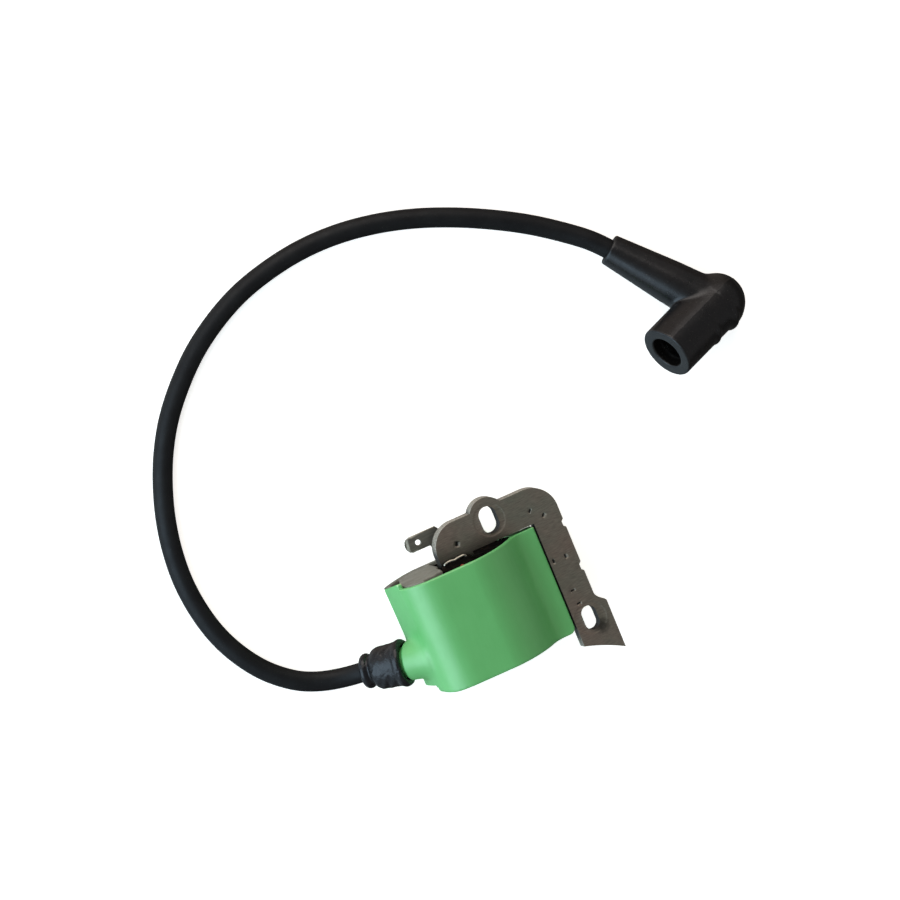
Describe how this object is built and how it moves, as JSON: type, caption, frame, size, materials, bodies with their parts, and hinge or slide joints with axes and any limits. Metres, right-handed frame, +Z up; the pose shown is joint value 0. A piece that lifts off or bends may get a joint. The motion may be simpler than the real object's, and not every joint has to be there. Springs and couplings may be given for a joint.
{
  "type": "ignition coil",
  "caption": "Small-engine ignition coil: moulded body on a slotted laminated U core, blade terminal, and a high tension lead with an elbow spark plug boot.",
  "frame": {"origin": "on the surface that the coil lies on, under the middle of the box of the housing, core and terminals, without the lead and boots", "axes": "+Z up, away from the housing's flat back; +X along the core's yoke towards the bare arm; +Y along the core's legs, away from the pole face"},
  "size_m": [0.2225, 0.1732, 0.0372],
  "materials": {
    "housing_green": "moulded green plastic, satin, with a soft broad highlight",
    "lamination_steel": "dark oiled silicon steel sheet, satin, sheared edges lighter",
    "tinned_metal": "dull tinned metal",
    "copper": "enamelled copper wire",
    "bobbin_nylon": "moulded nylon",
    "cover_grey": "grey moulded plastic",
    "potting": "dark cast epoxy",
    "board": "glass fibre board with solder resist",
    "component_brown": "ceramic and lacquered components",
    "component_black": "moulded epoxy packages",
    "brass": "turned brass",
    "boot_rubber": "moulded black rubber, satin",
    "lead_rubber": "extruded black silicone rubber"
  },
  "bodies": {
    "root": {"housing": "housing_green", "core_lamination_01": "lamination_steel", "core_lamination_02": "lamination_steel", "core_lamination_03": "lamination_steel", "core_lamination_04": "lamination_steel", "core_lamination_05": "lamination_steel", "core_lamination_06": "lamination_steel", "core_lamination_07": "lamination_steel", "core_lamination_08": "lamination_steel", "core_lamination_09": "lamination_steel", "core_lamination_10": "lamination_steel", "primary_bobbin": "bobbin_nylon", "primary_winding": "copper", "secondary_bobbin": "bobbin_nylon", "secondary_winding_1": "copper", "secondary_winding_2": "copper", "secondary_winding_3": "copper", "secondary_winding_4": "copper", "circuit_board": "board", "storage_capacitor": "component_brown", "switching_transistor": "component_black", "control_chip": "component_black", "resistor_1": "component_brown", "resistor_2": "component_brown", "resistor_3": "component_brown", "suppressor_diode": "component_black", "potting_cap": "potting", "top_cover": "cover_grey", "stop_terminal": "tinned_metal", "ground_wire": "tinned_metal", "winding_wire": "copper", "terminal_spike": "brass", "strain_relief": "boot_rubber", "plug_boot": "boot_rubber", "plug_spring": "tinned_metal", "lead_jacket": "lead_rubber", "lead_wire": "copper"}
  },
  "joints": []
}
